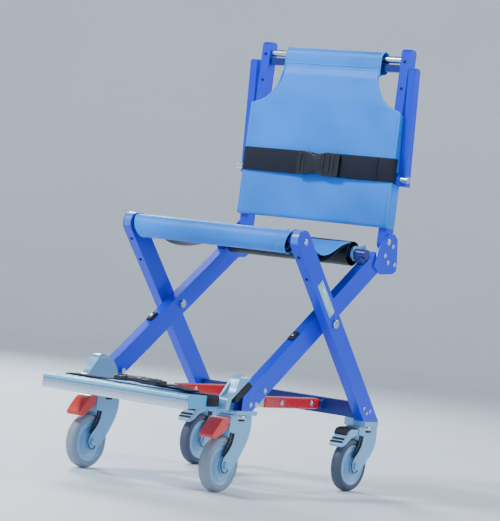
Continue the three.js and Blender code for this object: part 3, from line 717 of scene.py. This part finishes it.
def shoulder(t):
    """(half width, height) along the scooped shoulder."""
    a, b, c = (PANEL_HALF, SHOULDER_Z), (151.0, 323.0), (NECK_HALF, 394.0)
    return tuple((1 - t) ** 2 * a[i] + 2 * t * (1 - t) * b[i] + t * t * c[i] for i in (0, 1))


def panel_loop():
    """(y, z, half width, centre y) round the padded panel and the sleeve over the top tube."""
    up = [(lerp(PANEL_LOW + 6, SHOULDER_Z, k / 22), PANEL_HALF) for k in range(22)]
    up += [(shoulder(k / 14)[1], shoulder(k / 14)[0]) for k in range(15)]
    loop = []
    for z, half in up:
        loop.append((lerp(PANEL_FRONT, -24.0, ease(z, 316, 396)), z, half, PANEL_MIDDLE))
    loop += [(-20.5, 401, NECK_HALF, -10), (-18.2, 408, NECK_HALF, None), (-18.0, 416, NECK_HALF, None),
             (-17.6, 419, NECK_HALF, None), (-18.2, 422, NECK_HALF, None), (-18.0, 434, NECK_HALF, None)]
    for k in range(13):
        a = math.pi - math.pi * k / 12
        loop.append((17.6 * math.cos(a), TOP_TUBE_Z + 17.6 * math.sin(a), NECK_HALF, None))
    loop += [(17.6, 428, NECK_HALF, None), (17.0, 414, NECK_HALF, None), (13.0, 406.5, NECK_HALF, None),
             (3.0, 404.5, NECK_HALF, None), (-7.0, 402.5, NECK_HALF, None), (-12.5, 398, NECK_HALF, -16)]
    for z, half in reversed(up):
        loop.append((PANEL_REAR, z, half, PANEL_MIDDLE))
    loop += [(y, PANEL_LOW + rise, PANEL_HALF, PANEL_MIDDLE)
             for y, rise in ((-17.5, 1.8), (PANEL_MIDDLE, 0.0), (-27.0, 1.8))]
    return loop


EDGE_STEPS = (0.0, 0.7, 2.0, 4.0, 6.8, 12.0, 22.0)


def panel_columns(half):
    inner = half - 34.0
    right = [half - d for d in EDGE_STEPS]
    middle = [inner * (1 - 2 * k / 18) for k in range(19)]
    return right + middle + [-x for x in reversed(right)]


def press(x, z, half):
    """How far the front skin stands back of its flat face: a hollow, and soft pulls near hem and belt."""
    hollow = 5.2 * (1 - (x / half) ** 2) * math.sin(math.pi * min(1, max(0, (z - 40) / 350)))
    pull = 1.4 * math.sin(x * 0.045 + z * 0.02) * math.exp(-((z - 60) / 40) ** 2)
    belt = 1.1 * math.exp(-((z - 173) / 38) ** 2)
    diagonal = 1.2 * math.sin((x + z) * 0.05) * math.exp(-((z - 250) / 60) ** 2) * (abs(x) / half) ** 2
    return hollow + pull + belt + diagonal


def back_panel():
    rows = []
    for y, z, half, centre in panel_loop():
        line = []
        for x in panel_columns(half):
            edge = min(1.0, (half - abs(x)) / 6.8)
            keep = math.sqrt(max(0.0, 1 - (1 - edge) ** 2))
            py = y
            if centre is not None:
                if y < -22.3 and z > PANEL_LOW + 5:
                    py = y + press(x, z, half) * min(1.0, (half - abs(x)) / 20)
                py = lerp(centre, py, keep)
            line.append((x, py, z))
        rows.append(line)
    panel = back_piece("back_panel", from_grid(rows, closed_rows=True), "backrest", "vinyl")
    subdivided(panel)
    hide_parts("back_sling")


def back_trim():
    for sign, side_name in SIDES:
        line = [(sign * (PANEL_HALF - 1.2), -26.0, lerp(37, SHOULDER_Z - 2, k / 20)) for k in range(21)]
        line += [(sign * (shoulder(k / 16)[0] - 0.6), -25.6, shoulder(k / 16)[1] - 0.2) for k in range(1, 17)]
        line += [(sign * NECK_HALF, -20.0, 402), (sign * NECK_HALF, -18.0, 410)]
        back_piece(f"back_piping_{side_name}", tube_along(line, 2.2, 8), "backrest", "vinyl", "vinyl_light")
        rim_x = sign * (NECK_HALF - 0.6)
        rings = []
        for k in range(25):
            a = math.pi - math.pi * k / 24
            rings.append((rim_x, 17.4 * math.cos(a), TOP_TUBE_Z + 17.4 * math.sin(a)))
        rings = [(rim_x, -17.8, 410), (rim_x, -17.8, 426)] + rings + [(rim_x, 17.4, 426), (rim_x, 16.8, 412)]
        back_piece(f"sleeve_rim_{side_name}", tube_along(rings, 1.6, 8), "backrest", "vinyl", "vinyl_light")
        for number, (low, high) in enumerate(((PANEL_LOW, 142), (170, SHOULDER_Z - 5))):
            x0, x1 = sorted((sign * 215.7, sign * 217.9))
            flap = back_piece(f"back_flap_{side_name}_{number}", block(x0, x1, -20, 11.5, low, high),
                              "backrest", "vinyl")
            soften(flap, 0.9)
        seams = []
        inner = [(sign * (PANEL_HALF - 11), PANEL_FRONT + press(PANEL_HALF - 11, z, PANEL_HALF) * 0.55, z)
                 for z in (lerp(44, 300, k / 60) for k in range(61))]
        seams += stitches(inner, [(0, -1, 0)] * 61)
        scoop = []
        for k in range(30):
            half, z = shoulder(0.06 + 0.84 * k / 29)
            scoop.append((sign * (half - 9), PANEL_FRONT + 1.4, z - 6))
        seams += stitches(scoop, [(0, -1, 0)] * 30)
        back_piece(f"back_stitches_{side_name}", seams, "backrest", "vinyl", "thread")
    lines = []
    for z, y, half in ((414.0, -18.1, 134), (402.5, -20.2, 134), (45.0, PANEL_FRONT + 0.3, 204)):
        path = [(lerp(-half, half, k / 80), y + (press(lerp(-half, half, k / 80), z, PANEL_HALF) * 0.8
                                                 if z < 100 else 0), z) for k in range(81)]
        lines += stitches(path, [(0, -1, 0)] * 81)
    back_piece("back_cross_stitches", lines, "backrest", "vinyl", "thread")
    fold = [(lerp(-137, 137, k / 40), -18.6, 419.0 + 0.5 * math.sin(k * 0.7)) for k in range(41)]
    back_piece("sleeve_fold", tube_along(fold, 1.5, 8), "backrest", "vinyl", "vinyl_light")


# ---------------------------------------------------------------- belt, strap and buckles

BELT_Z = 173.0


def chest_belt():
    front = -30.9
    left = [(-219.6, -15, BELT_Z), (-219.6, -24, BELT_Z), (-217, -28.6, BELT_Z), (-211, front, BELT_Z),
            (-160, front - 0.2, BELT_Z), (-100, front - 0.6, BELT_Z), (-60, front - 1.2, BELT_Z),
            (-40, front - 2.6, BELT_Z)]
    right = [(60, front - 2.6, BELT_Z), (84, front - 1.2, BELT_Z), (130, front - 0.5, BELT_Z),
             (211, front, BELT_Z), (217, -28.6, BELT_Z), (219.6, -24, BELT_Z), (219.6, -15, BELT_Z)]
    doubled = [(62, front - 4.8, BELT_Z), (90, front - 3.6, BELT_Z), (140, front - 2.9, BELT_Z),
               (168, front - 2.7, BELT_Z), (176, front - 2.3, BELT_Z)]
    up = (0, 0, 1)
    main = back_piece("chest_belt_left", strap(smooth_path(left), 58, 2.0, up), "backrest", "webbing")
    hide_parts("chest_belt")
    other = back_piece("chest_belt_right", strap(smooth_path(right), 58, 2.0, up), "backrest", "webbing")
    tail = back_piece("chest_belt_tail", strap(smooth_path(doubled), 56, 1.9, up), "backrest", "webbing")
    threads = []
    for x in (158, 172):
        path = [(x, front - 3.9, BELT_Z + z) for z in range(-24, 25, 4)]
        threads += stitches(path, [(0, -1, 0)] * len(path), 4, 2.2, 0.5)
    for sign in (1, -1):
        path = [(lerp(158, 172, k / 8), front - 3.9, BELT_Z + sign * lerp(-24, 24, k / 8)) for k in range(9)]
        threads += stitches(path, [(0, -1, 0)] * 9, 4, 2.2, 0.5)
    back_piece("belt_stitches", threads, "backrest", "webbing", "frame_dark")


def buckle_parts(high):
    """A side-release buckle lying in u and v with its thickness along w, centred on its joint line."""
    half = high / 2

    def waist(u):
        return half - 1 - 8.5 * math.sin(math.pi * (u + 26) / 44) ** 0.7

    steps = [-26 + 44 * k / 12 for k in range(13)]
    body = [(u, -waist(u)) for u in steps] + [(u, waist(u)) for u in reversed(steps)]
    loop = [(-60, -half + 5), (-55, -half), (-36, -half), (-30, -half + 3), (-26, -half + 2), (-26, half - 2),
            (-30, half - 3), (-36, half), (-55, half), (-60, half - 5)]
    prong = [(-25, half - 5), (-15, half - 1.5), (-6, half - 3.5), (2, half - 5), (12, half - 2.5),
             (19, half - 3), (19, half - 12), (-25, half - 12)]
    base = [(18, -half + 1), (26, -half), (56, -half), (61, -half + 5), (61, half - 5), (56, half), (26, half),
            (18, half - 1)]
    panel = [(-18, -half + 15), (10, -half + 15), (10, half - 15), (-18, half - 15)]
    bars = [[(u, -half + 6), (u + 4.5, -half + 6), (u + 4.5, half - 6), (u, half - 6)] for u in (31, 43)]
    return {
        "loop": [slab(loop, 0, 11)],
        "loop_bar": [slab([(-53, -half + 6), (-48, -half + 6), (-48, half - 6), (-53, half - 6)], 10.6, 13.4),
                     slab([(-41, -half + 6), (-37, -half + 6), (-37, half - 6), (-41, half - 6)], 10.6, 12.6)],
        "body": [slab(body, 1, 13)],
        "panel": [slab(panel, 12.6, 14.2)],
        "prongs": [slab(prong, 2.5, 10.5), slab([(u, -v) for u, v in prong][::-1], 2.5, 10.5)],
        "base": [slab(base, 0, 11)],
        "bars": [slab(bar, 10.6, 13.4) for bar in bars],
    }


def chest_buckle():
    first = None
    for key, parts in buckle_parts(58).items():
        stood = [([(u + 11, -33.2 - w, BELT_Z + v) for u, v, w in points], faces) for points, faces in parts]
        made = soften(back_piece(f"chest_buckle_{key}", stood, "backrest", "black_plastic"), 1.3, 3)
        first = first or made
    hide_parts("chest_buckle")


def foot_strap():
    z = FOOT_TOP + 2.4
    y = -284.0
    left = [(-201.8, y, 191), (-201.8, y, 206), (-200.4, y, 213), (-194, y, z + 0.6),
            (-150, y + 1, z + 0.5), (-110, y + 2, z + 1.5), (-75, y, z + 2.5), (-52, y, z + 3.4)]
    right = [(44, y, z + 3.4), (70, y, z + 2.2), (104, y + 3, z + 2.2), (150, y - 1, z + 0.8),
             (194, y, z + 0.6), (200.4, y, 213), (201.8, y, 206), (201.8, y, 191)]
    tail = [(46, y + 2, z + 6.4), (76, y - 2, z + 7.5), (108, y - 6, z + 9.5), (136, y - 12, z + 5.6),
            (158, y - 15, z + 4.2)]
    for name, path, width in (("left", left, 43), ("right", right, 43), ("tail", tail, 40)):
        piece(f"foot_strap_{name}", strap(smooth_path(path), width, 2.2, (0, 1, 0)), "footrest",
                          "webbing")
    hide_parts("foot_strap")
    first = None
    for key, parts in buckle_parts(50).items():
        laid = [([(u - 4, y + v, FOOT_TOP + 5.0 + w) for u, v, w in points], faces) for points, faces in parts]
        obj = soften(piece(f"foot_buckle_{key}", laid, "footrest", "black_plastic"), 1.2, 3)
        first = first or obj
    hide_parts("foot_buckle")


# ---------------------------------------------------------------- casters

def wheel_pieces(end, side_name, x, axle_y):
    hub = f"{end}_{side_name}"
    place = at(x, axle_y, WHEEL_R)
    half = 13.0
    section = [(half - 2.0, 47.8), (half - 1.0, 50.0), (half - 0.2, 53.5), (half - 0.6, 57.0)]
    for k in range(9):
        a = math.pi * k / 8
        section.append((12.0 * math.cos(a), 57.2 + 5.25 * math.sin(a)))
    section += [(-half + 0.6, 57.0), (-half + 0.2, 53.5), (-half + 1.0, 50.0), (-half + 2.0, 47.8),
                (0, 47.6), (half - 2.0, 47.8)]
    # Rear tyres take the darker copy: painted shade.
    tyre = piece(f"{hub}_tyre_skin", moved(lathe(section, 96), place), f"{hub}_wheel", "tyre",
                 "tyre" if end == "front" else "tyre_painted_shade")
    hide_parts(f"{hub}_tyre")
    profile = [(9.9, 5.6), (9.9, 12.0), (12.4, 15.5), (9.0, 18.0), (7.6, 22.0), (7.2, 33.0), (8.4, 34.2),
               (8.4, 36.4), (7.4, 37.6), (8.0, 42.6), (9.6, 44.4), (11.6, 45.0), (11.8, 47.2), (10.6, 47.5)]
    both = profile + [(-w, r) for w, r in reversed(profile)] + [profile[0]]
    face = piece(f"{hub}_disc", moved(lathe(both, 72), place), f"{hub}_wheel", "disc")
    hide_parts(f"{hub}_hub")
    for sign in (-1, 1):
        ring = lathe([(sign * 9.6, 5.7), (sign * 10.6, 6.4), (sign * 10.6, 9.6), (sign * 9.6, 10.4),
                      (sign * 9.6, 5.7)], 40)
        name = "outer" if sign * x > 0 else "inner"
        piece(f"{hub}_bearing_{name}", moved(ring, place), f"{hub}_wheel", "disc", "steel")


def rear_pedal_tread(side_name, x):
    """A black tread pad over the brake pedal, with two ribs across its toe."""
    node = NODES[f"rear_{side_name}_pedal"]
    back = max((node.matrix_world @ v.co).y for v in node.data.vertices) / MM + 0.6
    pad = [(-6, 148.8), (-30, 148.8), (-44, 144), (-50.5, 134), (-54, 137), (-47, 148), (-31, 152.4),
           (-6, 152.4)]
    ribs = [[(-u, 182.2 - u), (-u - 3.4, 178.8 - u), (-u - 5.2, 180.6 - u), (-u - 1.8, 184.0 - u)]
            for u in (56, 63)]
    parts = [([(x + w, back + u, v) for u, v, w in points], faces)
             for points, faces in (slab(outline, -17, 17) for outline in [pad] + ribs)]
    tread = piece(f"rear_{side_name}_pedal_tread", parts, f"rear_{side_name}_pedal_body", "black_plastic",
                  "rubber_black")
    soften(tread, 0.7)


def caster_details(end, side_name, x, swivel_y, axle_y):
    hub = f"{end}_{side_name}"
    top = 173.4 if end == "front" else 155.0
    up = Matrix.Rotation(-math.pi / 2, 4, "Y")
    collar = lathe([(-9, 18), (-9, 24.5), (-7.5, 26), (-1.5, 26), (-0.3, 24.5), (-0.3, 18), (-9, 18)], 56)
    piece(f"{hub}_swivel_ring", moved(collar, at(x, swivel_y, top) @ up), f"{hub}_swivel", "casting", "steel")
    seal = lathe([(-13, 18), (-13, 23), (-9.3, 23.6), (-9.3, 18), (-13, 18)], 48)
    piece(f"{hub}_swivel_seal", moved(seal, at(x, swivel_y, top) @ up), f"{hub}_swivel", "black_plastic",
          "rubber_black")
    for sign in (-1, 1):
        head = moved(screw_head(8.4, 1.6, 2.6), at(x + sign * 23.4, axle_y, WHEEL_R) @ turned_to((sign, 0, 0)))
        name = "outer" if sign * x > 0 else "inner"
        piece(f"{hub}_axle_bolt_{name}", head, f"{hub}_swivel", "steel", "casting")
        # Thin black line along the fork arm's edge: painted shade in the gap between fork arm and wheel.
        hook = [(20, 133), (15, 112), (3, 94), (-11, 80), (-18, 66), (-14.5, 54), (-5, 46), (5, 46), (10, 52)]
        path = smooth_path([(x + sign * 19.9, axle_y + y, z) for y, z in hook])
        piece(f"{hub}_fork_gap_shade_line_{name}", tube_along(path, 1.5, 8), f"{hub}_swivel", "black_plastic")
        shoe = [(19, 134), (13, 111), (2, 94), (-10, 81), (-9, 87), (-3, 98), (4, 110), (8, 121), (10, 134)]
        pad = [([(x + sign * (14.9 + w), axle_y + u, v) for u, v, w in points], faces)
               for points, faces in [slab(shoe, 0, 3.4)]]
        soften(piece(f"{hub}_brake_shoe_{name}", pad, f"{hub}_swivel", "black_plastic"), 0.8)


# ---------------------------------------------------------------- bolts, bumpers and small trim

def bolt(name, where, facing, body, radius, high=3.2, look="steel"):
    place = at(*where) @ turned_to(facing)
    washer = lathe([(0.0, radius * 0.6), (0.0, radius * 1.32), (0.9, radius * 1.28), (0.9, radius * 0.6),
                    (0.0, radius * 0.6)], 32)
    piece(name, [moved(screw_head(radius, high, radius * 0.45), place), moved(washer, place)], body, "steel",
          look)


A_UP = Vector((0.0, -0.592, 0.806))
B_BACK = Vector((0.0, 0.735, 0.678))
B_ALONG = Vector((0.0, -0.678, 0.735))
CROSSING = Vector((0.0, 95.0, 394.0))
B_FACE = 250.05
LABEL_LONG, LABEL_WIDE, LABEL_THICK = 96, 24, 0.5


def bumper(name, where, out, body, long=30.0, wide=15.0, high=7.0):
    """A rubber stop: a rounded pad along the tube with a screw sunk in its middle."""
    n = Vector((0, out[1], out[2])).normalized()
    along = Vector((1, 0, 0)).cross(n)
    points, faces = block(-long / 2, long / 2, -wide / 2, wide / 2, 0, high)
    centre = Vector(where)
    points = [centre + along * u + Vector((1, 0, 0)) * v + n * w for u, v, w in points]
    soften(piece(name, (points, faces), body, "black_plastic", "rubber_black"), 2.6, 3)
    bolt(f"{name}_screw", centre + n * (high - 0.6), n, body, 3.6, 1.6)


def small_trim():
    for sign, side_name in SIDES:
        for number, (y, z) in enumerate(((-108, 230), (-159, 198), (-137, 198))):
            bolt(f"a_bolt_{side_name}_{number}", (sign * 215.1, y, z), (sign, 0, 0), "a_frame", 4.6)
        bolt(f"a_inner_bolt_{side_name}", (sign * 185.8, -110, 226), (-sign, 0, 0), "a_frame", 5.6)
        for number, (y, z) in enumerate(((339, 597), (359, 588), (328, 564), (344, 548), (374, 545))):
            radius = 5.8 if number == 0 else 4.2
            bolt(f"plate_bolt_{side_name}_{number}", (sign * 219.4, y, z), (sign, 0, 0), "a_frame", radius)
        bolt(f"b_top_bolt_{side_name}", (sign * 250.1, -65, 572), (sign, 0, 0), "b_frame", 5.4, 3.0)
        for number, (y, z) in enumerate(((-72, 533), (-27, 488))):
            on_face = CROSSING + B_ALONG * (Vector((0.0, y, z)) - CROSSING).dot(B_ALONG) - B_BACK * 25.1
            bolt(f"b_face_screw_{side_name}_{number}", (sign * 238.0, on_face.y, on_face.z),
                 (0, -B_BACK.y, -B_BACK.z), "b_frame", 2.8, 1.4, "rubber_black")
        for number, (y, z) in enumerate(((263, 200), (277, 188), (291, 193))):
            bolt(f"b_foot_bolt_{side_name}_{number}", (sign * 250.1, y, z), (sign, 0, 0), "b_frame", 3.2, 2.0)
        for number, y in enumerate((89, 215)):
            bolt(f"strut_bolt_{side_name}_{number}", (sign * 125 + 8.6, y, 196), (1, 0, 0),
                 f"strut_{side_name}", 5.0, 2.2)
        bumper(f"a_bumper_upper_{side_name}", (sign * 203, 1 - 0.6, 354.6), A_UP, "a_frame")
        bumper(f"a_bumper_lower_{side_name}", (sign * 203, -6, 288.5), -A_UP, "a_frame", 24, 13, 6)
        bumper(f"b_bumper_{side_name}", (sign * 238, 218, 297), B_BACK, "b_frame", 26, 14, 6)
        for number, z in enumerate((437, 372)):
            where = LEANING @ Vector((sign * 203.0, -15.1, z))
            facing = LEANING.to_3x3() @ Vector((0, -1, 0))
            bolt(f"post_screw_{side_name}_{number}", where, facing, "backrest", 2.6, 1.2,
                 "rubber_black")
        corner = CROSSING + B_ALONG * 26 - B_BACK * 12
        turn = Matrix(((0, 0, sign, sign * B_FACE), (B_ALONG.y, B_BACK.y, 0, corner.y),
                       (B_ALONG.z, B_BACK.z, 0, corner.z), (0, 0, 0, 1)))
        label = moved(block(0, LABEL_LONG, 0, LABEL_WIDE, 0, LABEL_THICK), turn)
        tag = piece(f"b_plain_label_{side_name}", label, None, "cap_grey", "label")
        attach(tag, "b_frame")


front_cover()
seat_underside()
rear_sleeve()
seat_trim()
back_panel()
back_trim()
chest_belt()
chest_buckle()
foot_strap()
for end, caster_x, swivel_y, axle_y in CASTERS:
    for sign, side_name in SIDES:
        wheel_pieces(end, side_name, sign * caster_x, axle_y)
        caster_details(end, side_name, sign * caster_x, swivel_y, axle_y)
for sign, side_name in SIDES:
    rear_pedal_tread(side_name, sign * CASTERS[1][1])
small_trim()


# ---------------------------------------------------------------- stage, light and camera

def stage_floor():
    """A round floor that curves up into a faintly glowing wall."""
    flat, rise = 7.5, 4.5
    profile = [(0.02, 0.0), (3.0, 0.0), (flat, 0.0)]
    for k in range(1, 13):
        a = math.pi / 2 * k / 12
        profile.append((flat + rise * math.sin(a), rise * (1 - math.cos(a))))
    profile.append((flat + rise, 2 * rise))
    steps = 96
    turns = [2 * math.pi * k / steps for k in range(steps)]
    rows = [[(r * math.cos(turn), r * math.sin(turn), z) for r, z in profile] for turn in turns]
    points, faces = from_grid(rows, closed_rows=True)
    faces.append(tuple(k * len(profile) for k in range(steps)))
    mesh = bpy.data.meshes.new("floor")
    mesh.from_pydata(points, [], faces)
    mesh.update()
    floor = bpy.data.objects.new("floor", mesh)
    bpy.context.scene.collection.objects.link(floor)
    for polygon in mesh.polygons:
        polygon.use_smooth = True
    g = Graph("floor")
    g.colour(g.mix(g.span(g.noise(1.2), 0.3, 0.7, 0.0, 1.0), (0.70, 0.74, 0.80, 1), (0.76, 0.80, 0.85, 1)))
    g.shader.inputs["Roughness"].default_value = 0.6
    far = g.add("ShaderNodeVectorMath", {"operation": "LENGTH"}, Vector=g.place).outputs["Value"]
    g.shader.inputs["Emission Color"].default_value = (0.78, 0.86, 0.95, 1)
    g.links.new(g.span(far, 3.0, 11.0, 0.0, 0.28), g.shader.inputs["Emission Strength"])
    mesh.materials.append(g.material)


def area_light(name, where, target, size, power, colour):
    data = bpy.data.lights.new(name, "AREA")
    data.shape = "DISK"
    data.size = size
    data.energy = power
    data.color = colour
    light = bpy.data.objects.new(name, data)
    light.location = where
    light.rotation_euler = (Vector(target) - Vector(where)).to_track_quat("-Z", "Y").to_euler()
    bpy.context.scene.collection.objects.link(light)


def world_light():
    world = bpy.data.worlds.new("studio")
    bpy.context.scene.world = world
    world.use_nodes = True
    background = world.node_tree.nodes["Background"]
    background.inputs["Color"].default_value = (0.72, 0.82, 0.95, 1)
    background.inputs["Strength"].default_value = 0.27


def camera():
    """Stands 5.4 m from the chair at hip height, leaning a little to one side."""
    azimuth, elevation, roll = (math.radians(v) for v in (34.74, 0.166, 6.62))
    right = Vector((math.cos(azimuth), math.sin(azimuth), 0))
    up = Vector((-math.sin(azimuth) * math.sin(elevation), math.cos(azimuth) * math.sin(elevation),
                 math.cos(elevation)))
    back = Vector((math.sin(azimuth) * math.cos(elevation), -math.cos(azimuth) * math.cos(elevation),
                   math.sin(elevation)))
    turned_right = right * math.cos(roll) + up * math.sin(roll)
    turned_up = up * math.cos(roll) - right * math.sin(roll)
    data = bpy.data.cameras.new("camera")
    data.lens = 166.1
    data.sensor_width = 36.0
    data.clip_end = 60.0
    cam = bpy.data.objects.new("camera", data)
    bpy.context.scene.collection.objects.link(cam)
    target = Vector((0.1416, -0.1198, 0.5167))
    distance = 5.4167
    place = target + back * distance
    cam.matrix_world = Matrix((
        (turned_right.x, turned_up.x, back.x, place.x),
        (turned_right.y, turned_up.y, back.y, place.y),
        (turned_right.z, turned_up.z, back.z, place.z),
        (0, 0, 0, 1),
    ))
    bpy.context.scene.camera = cam


stage_floor()
world_light()
area_light("key", (-1.9, -2.9, 3.9), (0, 0, 0.55), 1.1, 235.0, (0.95, 0.98, 1.0))
area_light("fill", (3.8, -2.4, 1.6), (0, 0, 0.5), 2.4, 40.0, (0.82, 0.91, 1.0))
area_light("back_left", (-3.0, 2.2, 2.4), (0, 0, 0.6), 1.2, 150.0, (0.88, 0.95, 1.0))
area_light("back_right", (2.6, 3.0, 2.6), (0, 0, 0.6), 1.6, 90.0, (0.92, 0.96, 1.0))
camera()
